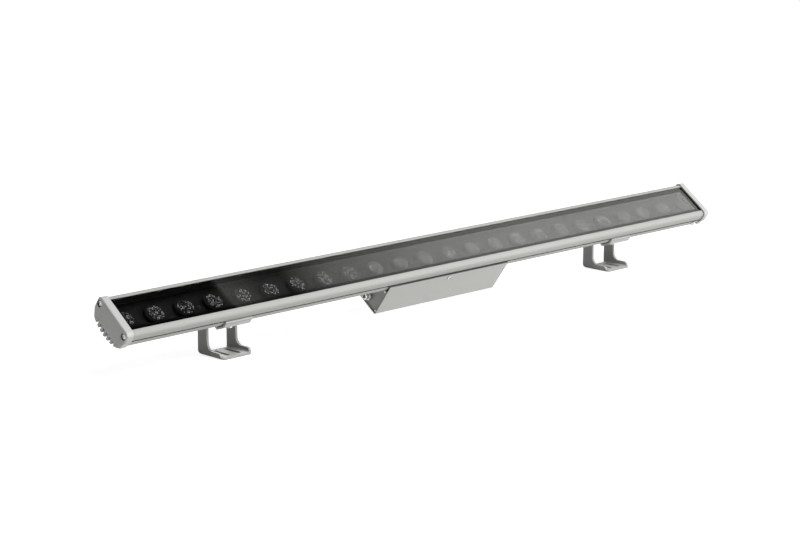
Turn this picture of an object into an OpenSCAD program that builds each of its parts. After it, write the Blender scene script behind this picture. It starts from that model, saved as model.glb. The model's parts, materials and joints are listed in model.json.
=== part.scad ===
// Linear outdoor wall washer: a finned profile with a row of lenses under flush glass,
// toothed end caps, a folded driver box and two brackets that slide and tilt.
// Lengths are in millimetres. X runs along the lamp, Z is up and the floor is Z = 0.
// The lamp's own parts are drawn flat, y across the glass and z up from the rims,
// and in_lamp() tilts them about the bracket pivots.

/* [Lamp] */
// Overall length over both end caps
lamp_l = 1000; // [800:50:1500]
// Tilt of the glass towards the front, in degrees
tilt = 36.5; // [20:0.5:50]
// Number of lenses in the row
lens_count = 24; // [12:2:30]
// Left end of the lamp to the middle of the left bracket
left_bracket_in = 163; // [60:1:300]
// Right end of the lamp to the middle of the right bracket
right_bracket_in = 176.5; // [60:0.5:300]

/* [Profile] */
// Opening between the two rims, where the glass lies
window_w = 46.6; // [44:0.2:60]
// Width of each rail beside the glass
rail_w = 6.5; // [6:0.1:10]
// Height of the rails, from the rims to the side grooves
rail_h = 12.8; // [12:0.1:18]
// Rounding of the rails' outer top edge
rail_r = 5.2; // [3:0.1:6]
// Step of the rail's flank inwards, just above the groove
rail_tuck = 1.2; // [0:0.1:2]
// Height of the side groove
groove_h = 1.6; // [1.6:0.1:3]
// Depth of the side groove
groove_d = 3; // [2.4:0.1:3.4]
// Height of the lower lip under the groove
lip_h = 7.7; // [7:0.1:12]
// Taper of the lower lip towards its bottom
lip_taper = 0.8; // [0:0.1:1.6]
// Rounding of the lower lip's bottom edge
lip_r = 2; // [1:0.1:3]
// Inner width of the chamber that holds the boards
chamber_w = 46; // [45:0.2:47]
// Thickness of the chamber's floor
floor_t = 2.7; // [2:0.1:4]
// Number of cooling fins
fin_count = 7; // [3:2:7]
// Distance between fins
fin_pitch = 6.54; // [6:0.02:6.8]
// Thickness of a fin
fin_t = 2.2; // [1.6:0.1:2.6]
// Length of the middle fin
fin_l = 7.1; // [4:0.1:8]
// Radius of the arc on which the fin tips lie
fin_arc_r = 50; // [46:1:120]
// Radius of the screw ports in the rails
port_r = 1.5; // [1.2:0.05:1.6]

/* [Glass and seal] */
// Thickness of the glass
glass_t = 4; // [3:0.5:4]
// Depth of the glass below the rims
glass_recess = 0.9; // [0.3:0.1:2]
// Thickness of the seal under the glass
seal_t = 1.1; // [0.8:0.1:1.6]
// Width of the black seal along the glass edge
seal_w = 6; // [4:0.1:7]
// Width of the seal beyond each end of the glass
end_seal_w = 3; // [2:0.1:5]
// How far the seal reaches under each end of the glass
end_seal_lap = 2; // [1:0.5:6]
// Thickness of the ledge that carries the seal
ledge_t = 1.8; // [1.4:0.1:2.4]

/* [Optics] */
// Diameter of a lens
lens_d = 23; // [18:0.5:24]
// Thickness of a lens's rim
lens_rim_t = 1.2; // [0.8:0.1:2]
// Height of a lens above its board
lens_h = 5.9; // [5:0.1:6.2]
// Wall of the black holder round a lens
holder_wall = 1.4; // [1:0.1:2]
// Thickness of the boards
board_t = 1.6; // [1:0.1:2]
// Side of a light source package
led_w = 3.5; // [2:0.1:5]
// Height of a light source package
led_h = 0.9; // [0.5:0.1:1.2]

/* [End caps] */
// Thickness of an end cap
cap_t = 9.5; // [8:0.5:14]
// How far the cap stands proud of the profile
cap_proud = 1.6; // [1:0.1:3]
// Rounding of the cap's top corners
cap_r = 6; // [4:0.1:8]
// Rounding of the cap's lower corners
cap_foot_r = 3.8; // [2:0.1:5]
// Rounding from the cap's outer face to its front and back
cap_edge_r = 3.5; // [2:0.1:5]
// Rounding from the cap's outer face to its top
cap_crown_r = 2; // [1:0.1:4]
// Thickness of the toothed plate below the profile
tooth_plate_t = 5.5; // [4:0.1:8]
// Depth of the hollow inside the cap
cap_hollow = 6; // [4:0.1:6]
// Width of the notches between the cap's teeth
notch_w = 3.2; // [2:0.1:4]
// Depth of the middle notches
notch_d = 7.8; // [4:0.1:8]
// Thickness of the gasket between cap and profile
gasket_t = 0.5; // [0.5:0.1:2]
// Radius of a cap screw's head
cap_head_r = 3.2; // [2.6:0.1:3.6]

/* [Driver box] */
// Length of the driver box
box_l = 205; // [160:1:260]
// Place of the box along the lamp, from the middle
box_at = 1.5; // [-20:0.5:20]
// Clearance between the box's walls and the lower lips
box_gap = 1.4; // [1:0.1:4]
// Depth of the box below the rims
box_drop = 60.7; // [56:0.1:66]
// Thickness of the sheet
sheet_t = 1.2; // [1:0.1:1.4]
// Outer radius of the sheet's folds
fold_r = 2.2; // [1.6:0.1:4]
// Room between the driver unit and the box's end plates
driver_gap = 5; // [3:0.5:20]
// Width of the driver unit
driver_w = 46; // [30:1:54]
// Height of the driver unit
driver_h = 24; // [16:1:25]

/* [Brackets] */
// Width of a bracket across its two flanges
bracket_w = 45.2; // [40:0.2:60]
// Thickness of the bracket's plate
plate_t = 3; // [2:0.1:4]
// Width of the bracket's uprights
upright_w = 16; // [12:0.5:18]
// Height of the pivots above the floor
pivot_h = 42.9; // [40:0.1:80]
// Gap between the tops of the uprights and the fins
pivot_gap = 0.5; // [0.3:0.1:6]
// Reach of the foot in front of the pivots
foot_reach = 35.2; // [33:0.2:60]
// Height of the toes of the flanges
toe_h = 7.2; // [5:0.1:12]
// Radius of the bolts' shanks
bolt_r = 2.45; // [2:0.05:2.9]
// Width of a fixing slot
slot_w = 5; // [4:0.1:7]
// Length of a fixing slot
slot_l = 27; // [12:0.5:28]
// Distance between the two fixing slots
slot_gap = 16; // [14:0.5:20]
// Thickness of the clip's wall
clip_t = 2.6; // [2:0.1:3]

/* [Hidden] */
$fn = 48;

// Overrun of every cut
over = 1;
// Clearance between parts that move on each other
slide_gap = 0.3;
// Radial clearance of shafts and screws in their holes
pin_gap = 0.05;
// Clearance round parts that are laid into place
lay_gap = 0.15;

// Profile
side = window_w / 2 + rail_w;
groove_top = -rail_h;
groove_low = -rail_h - groove_h;
lip_side = side - rail_tuck - 2 * slide_gap / 3;
lip_low = groove_low - lip_h;
groove_in = lip_side - groove_d;
floor_top = lip_low + floor_t + slide_gap;
fin_low = lip_low - fin_l;
profile_half = lamp_l / 2 - cap_t - gasket_t;
lip_centre = [lip_side - lip_taper - lip_r, lip_low + lip_r];
port_side = window_w / 2 + port_r + 0.1 * rail_w;
port_drop = rail_h / 2;

// Glass and its ledge
glass_half = profile_half - end_seal_w;
seal_top = -glass_recess - glass_t;
ledge_top = seal_top - seal_t;
seal_in = window_w / 2 - seal_w;
ledge_in = seal_in + 2 * lay_gap;

// Optics
lens_pitch = lamp_l / lens_count;
board_w = chamber_w - 6 * lay_gap;
board_top = floor_top + board_t;
holder_r = lens_d / 2 + holder_wall;
holder_h = lens_h - lens_rim_t / 2;
lens_foot_r = 0.22 * lens_d;
lens_cup_r = 0.8 * led_w;
lens_cup_h = 1.6 * led_h;
screw_shares = [-0.375, -0.2, -0.05, 0.05, 0.2, 0.375];
small_head_r = 2.8;
small_head_h = 1.8;
small_shank_r = 1.45;

// End caps
cap_side = side + cap_proud;
cap_low = fin_low - 1.3 * cap_proud;
cap_arc_r = fin_arc_r + cap_proud;
cap_step = 6.5;
cap_foot_side = lip_centre[0] + lip_r + cap_proud / 2;
cap_foot_n = lip_low + 0.7 * cap_proud;
cap_shoulder_n = groove_top + cap_proud / 2;
cap_lean = atan((cap_side - cap_foot_side + cap_foot_r) / (cap_shoulder_n - cap_foot_n + cap_foot_r));
cap_corner = (cap_foot_side - cap_foot_r) * cos(cap_lean) - cap_foot_n * sin(cap_lean) + cap_foot_r;
recess_r = cap_head_r + 0.9;
recess_d = 2.2;
hollow_side = port_side - recess_r;
cap_head_h = 0.9 * recess_d;
cap_shank_l = 18;
cross_w_share = 0.25;
cross_l_share = 1.2;
earth_in = 20.5;
earth_head_r = 3.5;
earth_head_h = 2.4;
earth_shank_r = 1.7;
earth_shank_l = 4;
lip_lean = atan(lip_taper / (lip_h - lip_r));

// Driver box
box_inner = lip_side + box_gap;
box_side = box_inner + sheet_t;
hook_top = groove_top - (groove_h - sheet_t) / 2;
hook_in = groove_in + slide_gap;
box_from = box_at - box_l / 2;
box_to = box_at + box_l / 2;
box_screw_drop = -groove_low + lip_h / 2;
box_screw_bite = 4;
box_screw_in = lip_side - box_screw_bite;
end_inset = 1.5;
end_flange = 12;
end_shoulder = lip_low - 7 * slide_gap;
end_screw_side = 2 * box_side / 3;
driver_low = sheet_t - box_drop;
driver_l = box_l - 2 * (end_inset + end_flange + driver_gap);
gland_side = -8.5;
gland_up = 9.8;
gland_bore_r = 2.75;
gland_r = 4;
gland_hex_w = 11;
gland_hex_t = 2.5;
gland_dome_r = 4.7;
gland_dome_l = 5.2;
gland_dome_round = 0.9;
gland_inner_l = 7;
gland_lock_t = 2.4;
gland_seal_t = 0.8;
lead_r = 1.5;
lead_mid = floor((box_at + driver_l / 2 - lead_r) / lens_pitch);
lead_side = 1.5 * fin_pitch;
grommet_wall = 0.5;

// Clips and brackets
clip_l = bracket_w - 2 * plate_t - 2 * slide_gap;
clip_side = lip_side + slide_gap + clip_t;
clip_top = groove_top - slide_gap;
tongue_t = groove_h - 2 * slide_gap;
clip_plate_top = fin_low - slide_gap;
clip_plate_t = 3;
clip_knee = lip_low + lip_r / 4;
clip_slope = 54.4;
bead_h = 1.8;
bead_line = 0.7;
bead_line_d = 0.5;
ear_t = 3;
ear_r = 7.5;
clamp_head_r = 3;
clamp_head_h = 1.8;
clamp_shank_r = 1.6;
clamp_at = -8;
clamp_down = 1.1 * clamp_head_r;
clamp_seat = [clip_side - clamp_down * cos(clip_slope), clip_knee - clamp_down * sin(clip_slope)];
clamp_shank_l = (clamp_seat - lip_centre) * [sin(clip_slope), -cos(clip_slope)]
    - lip_r - slide_gap;
bend_in_r = 1;
bend_r = plate_t + bend_in_r;
heel_r = 5;
toe_back = 3.5;
toe_r = 4;
fillet_r = 9;
foot_corner_r = 5;
slot_back = 2.5;
bolt_head_w = 8;
bolt_head_t = 3.5;
washer_r = 5;
washer_t = 1;
nut_w = 8;
nut_t = 4;
bolt_end = 1;
pivot_drop = upright_w / 2 + pivot_gap - fin_low;
left_at = left_bracket_in - lamp_l / 2;
right_at = lamp_l / 2 - right_bracket_in;

// Middle of the footprint: the front cap corner and the box's back fold reach furthest
front_reach = (cap_side - cap_r) * cos(tilt)
    + (cap_proud - cap_r + pivot_drop) * sin(tilt) + cap_r;
back_reach = (box_side - fold_r) * cos(tilt)
    + (box_drop - fold_r - pivot_drop) * sin(tilt) + fold_r;
pivot_y = (front_reach - back_reach) / 2;

// Colours
coat = [0.74, 0.74, 0.72];
coat_dark = [0.62, 0.62, 0.61];
steel = [0.78, 0.78, 0.78];
black = [0.05, 0.05, 0.05];

// Places the lamp's own frame, tilted about the pivots
module in_lamp() {
    translate([0, pivot_y, pivot_h])
        rotate([tilt, 0, 0])
            translate([0, 0, pivot_drop])
                children();
}

// Places a bracket's frame: its origin is on the pivot axis, between the flanges
module at_pivot(at) {
    translate([at, pivot_y, pivot_h])
        children();
}

// Extrudes a drawing of y and z along X
module run(from, to) {
    translate([from, 0, 0])
        rotate([90, 0, 90])
            linear_extrude(to - from)
                children();
}

// A drawing and its mirror image across the lamp's middle
module both() {
    children();
    mirror([1, 0])
        children();
}

// Rod along X
module rod(from, to, r) {
    translate([from, 0, 0])
        rotate([0, 90, 0])
            cylinder(h = to - from, r = r);
}

// Hexagon bar along X, by its width across flats
module hex_rod(from, to, across) {
    translate([from, 0, 0])
        rotate([0, 90, 0])
            cylinder(h = to - from, r = across / sqrt(3), $fn = 6);
}

// Slot that is open downwards and round at its top
module open_slot(at, w, top, low) {
    translate([at, top - w / 2])
        circle(r = w / 2);
    translate([at - w / 2, low])
        square([w, top - w / 2 - low]);
}

// Pan head screw, head up at z = 0 and shank downwards
module pan_screw(head_r, head_h, shank_r, shank_l) {
    difference() {
        intersection() {
            cylinder(h = head_h, r = head_r);
            translate([0, 0, head_h - 1.4 * head_r])
                sphere(r = 1.4 * head_r);
        }
        for (turn = [0, 90])
            rotate(turn)
                translate([-cross_l_share * head_r / 2, -cross_w_share * head_r / 2, head_h / 2])
                    cube([cross_l_share * head_r, cross_w_share * head_r, head_h]);
    }
    translate([0, 0, -shank_l])
        cylinder(h = shank_l + head_h / 4, r = shank_r);
}

// Outline of the profile without its fins
module shell_half() {
    polygon([
        [0, lip_low], [lip_centre[0], lip_low], [lip_centre[0] + lip_r, lip_centre[1]],
        [lip_side, groove_low], [side - rail_tuck, groove_top],
        [side, 3 * rail_tuck - rail_h], [side, -rail_r], [side - rail_r, 0], [0, 0]
    ]);
    translate([side - rail_r, -rail_r])
        circle(r = rail_r);
    translate(lip_centre)
        circle(r = lip_r);
}

// Places of the board screws, each in the gap between two lenses
function board_screw_places() = [for (s = screw_shares) round(s * lens_count) * lens_pitch];

// Frame of the earth screw, square to the outer face of the front lip
module at_earth() {
    translate([lamp_l / 2 - earth_in, lip_taper / 2 - lip_side, groove_low - lip_h / 2])
        rotate([90 + lip_lean, 0, 0])
            translate([0, 0, pin_gap])
                children();
}

// Section of the aluminium extrusion
module profile_section() {
    fin_half = (fin_count - 1) / 2 * fin_pitch + fin_t / 2;
    difference() {
        union() {
            both()
                shell_half();
            intersection() {
                translate([-fin_half, fin_low - over])
                    square([2 * fin_half, fin_l + over + floor_t / 2]);
                translate([0, fin_low + fin_arc_r])
                    circle(r = fin_arc_r, $fn = 96);
            }
        }
        translate([-window_w / 2, ledge_top])
            square([window_w, over - ledge_top]);
        translate([-ledge_in, ledge_top - ledge_t - over])
            square([2 * ledge_in, ledge_t + 2 * over]);
        translate([-chamber_w / 2, floor_top])
            square([chamber_w, ledge_top - ledge_t - floor_top]);
        both()
            translate([groove_in, groove_low])
                square([side, groove_h]);
        both()
            translate([port_side, -port_drop])
                circle(r = port_r);
        for (gap = [1:fin_count - 1])
            open_slot((gap - fin_count / 2) * fin_pitch, fin_pitch - fin_t,
                lip_low + slide_gap, fin_low - over);
    }
}

module housing_profile() {
    color(coat)
        in_lamp()
            difference() {
                run(-profile_half, profile_half)
                    profile_section();
                translate([lead_mid * lens_pitch, lead_side, lip_low - floor_t])
                    cylinder(h = 3 * floor_t, r = lead_r + grommet_wall + 2 * pin_gap);
                for (turn = [90, -90])
                    translate([box_at, 0, -box_screw_drop])
                        rotate([turn, 0, 0])
                            translate([0, 0, box_screw_in - lay_gap])
                                cylinder(h = side, r = small_shank_r + pin_gap);
                at_earth()
                    translate([0, 0, -earth_shank_l - lay_gap])
                        cylinder(h = earth_shank_l + over, r = earth_shank_r + pin_gap);
                for (x = board_screw_places())
                    translate([x, 0, floor_top - floor_t / 2])
                        cylinder(h = floor_t, r = small_shank_r + pin_gap);
            }
}

module glass_pane() {
    w = window_w - 2 * lay_gap;
    color([0.6, 0.65, 0.68, 0.35])
        in_lamp()
            translate([-glass_half, -w / 2, seal_top])
                cube([2 * glass_half, w, glass_t]);
}

module glass_seal() {
    w = window_w - 2 * lay_gap;
    l = 2 * (profile_half - lay_gap);
    dam = end_seal_w - 2 * lay_gap;
    color(black)
        in_lamp() {
            difference() {
                translate([-l / 2, -w / 2, ledge_top])
                    cube([l, w, seal_t]);
                translate([end_seal_lap - glass_half, -seal_in, ledge_top - over])
                    cube([2 * (glass_half - end_seal_lap), 2 * seal_in, seal_t + 2 * over]);
            }
            for (end = [-l / 2, l / 2 - dam])
                translate([end, -w / 2, ledge_top])
                    cube([dam, w, seal_t + glass_t]);
        }
}

module led_boards() {
    color([0.09, 0.09, 0.09])
        in_lamp()
            difference() {
                for (from = [lay_gap - profile_half, lay_gap])
                    translate([from, -board_w / 2, floor_top])
                        cube([profile_half - 2 * lay_gap, board_w, board_t]);
                for (x = board_screw_places())
                    translate([x, 0, floor_top - over])
                        cylinder(h = board_t + 2 * over, r = small_shank_r + 2 * pin_gap);
                translate([lead_mid * lens_pitch, lead_side, floor_top - over])
                    cylinder(h = board_t + 2 * over, r = lead_r + pin_gap);
            }
}

// One copy of a piece on the board under each lens
module at_lenses() {
    in_lamp()
        for (i = [0:lens_count - 1])
            translate([(i + 0.5 - lens_count / 2) * lens_pitch, 0, board_top])
                children();
}

module leds() {
    color([0.95, 0.85, 0.4])
        at_lenses()
            translate([-led_w / 2, -led_w / 2, 0])
                cube([led_w, led_w, led_h]);
}

module lenses() {
    r = lens_d / 2;
    color([0.8, 0.85, 0.88, 0.5])
        at_lenses()
            rotate_extrude()
                polygon([
                    [0, lens_cup_h], [lens_cup_r, lens_cup_h], [lens_cup_r, led_h / 3],
                    [lens_foot_r, led_h / 3], [r - holder_wall, lens_h - lens_rim_t],
                    [r, lens_h - lens_rim_t], [r, lens_h], [0, lens_h]
                ]);
}

module lens_holders() {
    inner_r = lens_d / 2 - holder_wall / 2;
    color(black)
        at_lenses()
            difference() {
                cylinder(h = holder_h, r = holder_r);
                translate([0, 0, -over])
                    cylinder(h = holder_h + 2 * over, r = inner_r);
                translate([0, 0, lens_h - lens_rim_t - pin_gap])
                    cylinder(h = lens_rim_t + over, r = lens_d / 2 + pin_gap);
            }
}

module board_screws() {
    color(steel)
        in_lamp()
            for (x = board_screw_places())
                translate([x, 0, board_top])
                    pan_screw(small_head_r, small_head_h, small_shank_r, board_t + floor_t / 3);
}

// Outline of an end cap
module cap_outline() {
    intersection() {
        both() {
            polygon([
                [0, cap_low], [cap_foot_side - cap_foot_r, cap_low],
                [cap_foot_side - cap_foot_r, cap_foot_n], [cap_foot_side, cap_foot_n],
                [cap_foot_side, cap_shoulder_n - cap_step],
                [cap_side, cap_shoulder_n], [cap_side, cap_proud - cap_r],
                [cap_side - cap_r, cap_proud], [0, cap_proud]
            ]);
            translate([cap_foot_side - cap_foot_r, cap_foot_n])
                circle(r = cap_foot_r);
            translate([cap_side - cap_r, cap_proud - cap_r])
                circle(r = cap_r);
        }
        translate([0, cap_low + cap_arc_r])
            circle(r = cap_arc_r, $fn = 96);
    }
}

// Plan of a cap, rounded where its outer face meets the front and the back
module cap_plan(from, to, half) {
    for (y = [cap_edge_r - half, half - cap_edge_r])
        translate([to - cap_edge_r, y])
            circle(r = cap_edge_r);
    translate([from - over, cap_edge_r - half])
        square([to - from + over, 2 * (half - cap_edge_r)]);
    translate([from - over, -half - over])
        square([to - from + over - cap_edge_r, 2 * (half + over)]);
}

// That plan drawn out across the cap's height and leant sideways by an angle
module cap_block(from, to, half, lean) {
    rotate([lean, 0, 0])
        translate([0, 0, -cap_corner - half])
            linear_extrude(2 * (cap_corner + half))
                cap_plan(from, to, half);
}

// A cap seen from the front, rounded where its outer face meets the top
module cap_crown(from, to) {
    translate([to - cap_crown_r, cap_proud - cap_crown_r])
        circle(r = cap_crown_r);
    translate([from - over, cap_low - over])
        square([to - from + over, cap_proud - cap_crown_r - cap_low + over]);
    translate([from - over, cap_low - over])
        square([to - from + over - cap_crown_r, cap_proud - cap_low + 2 * over]);
}

// An end cap at the right end, its inner face on the gasket
module cap_solid() {
    inner = profile_half + gasket_t;
    outer = inner + cap_t;
    difference() {
        intersection() {
            run(inner, outer)
                difference() {
                    cap_outline();
                    for (gap = [1:fin_count - 1])
                        open_slot((gap - fin_count / 2) * fin_pitch, notch_w,
                            cap_low + notch_d, cap_low - over);
                }
            cap_block(inner, outer, cap_side, 0);
            cap_block(inner, outer, cap_corner, cap_lean);
            cap_block(inner, outer, cap_corner, -cap_lean);
            translate([0, cap_side + over, 0])
                rotate([90, 0, 0])
                    linear_extrude(2 * (cap_side + over))
                        cap_crown(inner, outer);
        }
        run(inner - over, outer - tooth_plate_t)
            translate([-cap_side - over, cap_low - over])
                square([2 * (cap_side + over), lip_low - cap_low + over]);
        run(inner - over, inner + cap_hollow)
            translate([-hollow_side, floor_top - 2 * lay_gap])
                square([2 * hollow_side, ledge_top - floor_top]);
        for (y = [-port_side, port_side])
            translate([0, y, -port_drop]) {
                rod(inner - over, outer + over, port_r + 4 * pin_gap);
                rod(outer - recess_d, outer + over, recess_r);
            }
    }
}

module end_cap_left() {
    color(coat_dark)
        in_lamp()
            mirror([1, 0, 0])
                cap_solid();
}

module end_cap_right() {
    color(coat_dark)
        in_lamp()
            cap_solid();
}

// Gasket at the right end
module gasket_solid() {
    run(profile_half, profile_half + gasket_t)
        difference() {
            both()
                shell_half();
            translate([-hollow_side, floor_top - lay_gap])
                square([2 * hollow_side, ledge_top - floor_top]);
            both()
                translate([port_side, -port_drop])
                    circle(r = port_r + 4 * pin_gap);
        }
}

module cap_gasket_left() {
    color(black)
        in_lamp()
            mirror([1, 0, 0])
                gasket_solid();
}

module cap_gasket_right() {
    color(black)
        in_lamp()
            gasket_solid();
}

// The two screws of the right end cap
module cap_screw_pair() {
    seat = profile_half + gasket_t + cap_t - recess_d;
    for (y = [-port_side, port_side])
        translate([seat, y, -port_drop])
            rotate([0, 90, 0])
                pan_screw(cap_head_r, cap_head_h, port_r - pin_gap, cap_shank_l);
}

module cap_screws_left() {
    color(steel)
        in_lamp()
            mirror([1, 0, 0])
                cap_screw_pair();
}

module cap_screws_right() {
    color(steel)
        in_lamp()
            cap_screw_pair();
}

module earth_screw() {
    color(steel)
        in_lamp()
            at_earth()
                pan_screw(earth_head_r, earth_head_h, earth_shank_r, earth_shank_l);
}

// Section of the folded driver box, with its hooks in the grooves
module box_section() {
    difference() {
        union() {
            for (y = [fold_r - box_side, box_side - fold_r]) {
                translate([y, fold_r - box_drop])
                    circle(r = fold_r);
                translate([y, hook_top - fold_r])
                    circle(r = fold_r);
            }
            translate([-box_side, fold_r - box_drop])
                square([2 * box_side, box_drop + hook_top - 2 * fold_r]);
            translate([fold_r - box_side, -box_drop])
                square([2 * (box_side - fold_r), box_drop + hook_top]);
        }
        translate([-box_inner, sheet_t - box_drop])
            square([2 * box_inner, box_drop + hook_top - 2 * sheet_t]);
        translate([-hook_in, hook_top - sheet_t - over])
            square([2 * hook_in, sheet_t + 2 * over]);
    }
}

module driver_box() {
    color(coat)
        in_lamp()
            difference() {
                run(box_from, box_to)
                    box_section();
                for (turn = [90, -90])
                    translate([box_at, 0, -box_screw_drop])
                        rotate([turn, 0, 0])
                            translate([0, 0, box_inner - over])
                                cylinder(h = sheet_t + 2 * over, r = small_shank_r + 2 * pin_gap);
                for (x = [-driver_l / 3, driver_l / 3])
                    translate([box_at + x, 0, -box_drop - over])
                        cylinder(h = sheet_t + 2 * over, r = small_shank_r + 2 * pin_gap);
                for (x = box_end_places(), y = [-end_screw_side, end_screw_side])
                    translate([x, y, -box_drop - over])
                        cylinder(h = sheet_t + 2 * over, r = small_shank_r + 2 * pin_gap);
            }
}

// Places of the end plates' screws along the lamp
function box_end_places() = [
    box_from + end_inset + 0.6 * end_flange, box_to - end_inset - 0.6 * end_flange
];

// End plate of the driver box, drawn at the right end
module box_end_solid(to) {
    out = to - end_inset;
    w = box_inner - lay_gap;
    difference() {
        union() {
            run(out - sheet_t, out)
                difference() {
                    translate([-w, driver_low + lay_gap])
                        square([2 * w, end_shoulder - driver_low - lay_gap]);
                    translate([0, fin_low + fin_arc_r])
                        circle(r = fin_arc_r + 2 * slide_gap, $fn = 96);
                }
            translate([out - end_flange, -w, driver_low + lay_gap])
                cube([end_flange, 2 * w, sheet_t]);
        }
        for (y = [-end_screw_side, end_screw_side])
            translate([out - 0.6 * end_flange, y, driver_low - over])
                cylinder(h = sheet_t + 2 * over, r = small_shank_r + pin_gap);
    }
}

module box_end_right() {
    color(coat_dark)
        in_lamp()
            box_end_solid(box_to);
}

module box_end_left() {
    color(coat_dark)
        in_lamp()
            difference() {
                mirror([1, 0, 0])
                    box_end_solid(-box_from);
                translate([0, gland_side, driver_low + gland_up])
                    rod(box_from, box_from + end_inset + sheet_t + over, gland_r + pin_gap);
            }
}

module box_screws() {
    color(steel)
        in_lamp()
            for (turn = [90, -90])
                translate([box_at, 0, -box_screw_drop])
                    rotate([turn, 0, 0])
                        translate([0, 0, box_side])
                            pan_screw(small_head_r, small_head_h, small_shank_r,
                                box_side - box_screw_in);
}

module box_end_screws() {
    color(steel)
        in_lamp()
            for (x = box_end_places(), y = [-end_screw_side, end_screw_side])
                translate([x, y, -box_drop])
                    rotate([180, 0, 0])
                        pan_screw(small_head_r, small_head_h, small_shank_r, 3 * sheet_t);
}

module driver_unit() {
    color([0.2, 0.2, 0.21])
        in_lamp()
            difference() {
                translate([box_at - driver_l / 2, -driver_w / 2, driver_low])
                    cube([driver_l, driver_w, driver_h]);
                for (x = [-driver_l / 3, driver_l / 3])
                    translate([box_at + x, 0, driver_low - over])
                        cylinder(h = 4 * sheet_t + over, r = small_shank_r + pin_gap);
            }
}

module driver_screws() {
    color(steel)
        in_lamp()
            for (x = [-driver_l / 3, driver_l / 3])
                translate([box_at + x, 0, -box_drop])
                    rotate([180, 0, 0])
                        pan_screw(small_head_r, small_head_h, small_shank_r, 4 * sheet_t);
}

// Lead from the driver up through a gap between two fins into the chamber
module driver_lead() {
    from = driver_low + driver_h;
    color([0.15, 0.15, 0.15])
        in_lamp()
            translate([lead_mid * lens_pitch, lead_side, from])
                cylinder(h = board_top + led_h - from, r = lead_r);
}

module lead_grommet() {
    color(black)
        in_lamp()
            translate([lead_mid * lens_pitch, lead_side, 0])
                difference() {
                    translate([0, 0, lip_low - floor_t / 2])
                        cylinder(h = floor_t * 1.4, r = lead_r + grommet_wall + pin_gap);
                    translate([0, 0, lip_low - floor_t])
                        cylinder(h = floor_t * 2, r = lead_r + pin_gap);
                }
}

// Parts of the cable gland, along X outwards from the left end plate
module at_gland() {
    in_lamp()
        translate([box_from + end_inset, gland_side, driver_low + gland_up])
            mirror([1, 0, 0])
                children();
}

module gland_body() {
    color(steel)
        at_gland()
            difference() {
                union() {
                    rod(-gland_inner_l, gland_seal_t + gland_hex_t + gland_dome_l / 2, gland_r);
                    hex_rod(gland_seal_t, gland_seal_t + gland_hex_t, gland_hex_w);
                }
                rod(-gland_inner_l - over, gland_seal_t + gland_hex_t + gland_dome_l,
                    gland_bore_r);
            }
}

module gland_nut() {
    thread_l = gland_dome_l / 2 + pin_gap;
    color(steel)
        at_gland()
            translate([gland_seal_t + gland_hex_t, 0, 0])
                rotate([0, 90, 0])
                    rotate_extrude() {
                        translate([gland_r + pin_gap, 0])
                            square([gland_dome_r - gland_r - pin_gap, thread_l + pin_gap]);
                        translate([gland_bore_r + slide_gap, thread_l])
                            square([gland_dome_r - gland_dome_round - gland_bore_r - slide_gap,
                                gland_dome_l - thread_l]);
                        translate([gland_dome_r - gland_dome_round, gland_dome_l - gland_dome_round])
                            circle(r = gland_dome_round);
                        translate([gland_dome_r - 2 * gland_dome_round, thread_l])
                            square([2 * gland_dome_round,
                                gland_dome_l - gland_dome_round - thread_l]);
                    }
}

module gland_seal() {
    color(black)
        at_gland()
            difference() {
                rod(0, gland_seal_t, gland_dome_r);
                rod(-over, gland_seal_t + over, gland_r + pin_gap);
            }
}

module gland_locknut() {
    color(steel)
        at_gland()
            difference() {
                hex_rod(-sheet_t - gland_lock_t, -sheet_t, gland_hex_w);
                rod(-sheet_t - gland_lock_t - over, over - sheet_t, gland_r + pin_gap);
            }
}

// Half section of a clip: tongue in the groove, wall round the lip, slope and plate
module clip_half() {
    slope_out = [cos(clip_slope), sin(clip_slope)];
    wall_in = clip_side - clip_t;
    plate_low = clip_plate_top - clip_plate_t;
    drop_in = clip_knee - clip_plate_top;
    drop_out = clip_knee - plate_low;
    run_in = drop_in * slope_out[0] / slope_out[1];
    run_out = drop_out * slope_out[0] / slope_out[1];
    difference() {
        union() {
            polygon([
                [0, plate_low], [clip_side - run_out, plate_low], [clip_side, clip_knee],
                [clip_side, clip_top - clip_t / 2], [clip_side - clip_t / 2, clip_top],
                [hook_in, clip_top], [hook_in, clip_top - tongue_t],
                [wall_in, clip_top - tongue_t], [wall_in, clip_knee + clip_t / 4],
                [wall_in - run_in, clip_plate_top], [0, clip_plate_top]
            ]);
            translate([clip_side - clip_t / 2, clip_top - clip_t / 2])
                circle(r = clip_t / 2);
        }
        translate([clip_side - bead_line_d, clip_top - bead_h - bead_line])
            square([bead_line_d + over, bead_line]);
    }
}

// Ear that hangs from the clip's plate and holds a pivot bolt
module ear_section() {
    difference() {
        union() {
            translate([-ear_r, -pivot_drop])
                square([2 * ear_r, pivot_drop + clip_plate_top - clip_plate_t / 2]);
            translate([0, -pivot_drop])
                circle(r = ear_r);
        }
        translate([0, -pivot_drop])
            circle(r = bolt_r + pin_gap);
    }
}

// Frame of the clamp screw: its head seats on the slope at the front of the clip
module at_clamp() {
    translate([clamp_at, -clamp_seat[0], clamp_seat[1]])
        rotate([180 - clip_slope, 0, 0])
            children();
}

module clip_solid(at) {
    in_lamp()
        translate([at, 0, 0])
            difference() {
                union() {
                    run(-clip_l / 2, clip_l / 2)
                        both()
                            clip_half();
                    for (from = [-clip_l / 2, clip_l / 2 - ear_t])
                        run(from, from + ear_t)
                            ear_section();
                }
                at_clamp()
                    translate([0, 0, -2 * clip_t])
                        cylinder(h = 2 * clip_t + over, r = clamp_shank_r + pin_gap);
            }
}

module clip_left() {
    color(coat)
        clip_solid(left_at);
}

module clip_right() {
    color(coat)
        clip_solid(right_at);
}

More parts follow.
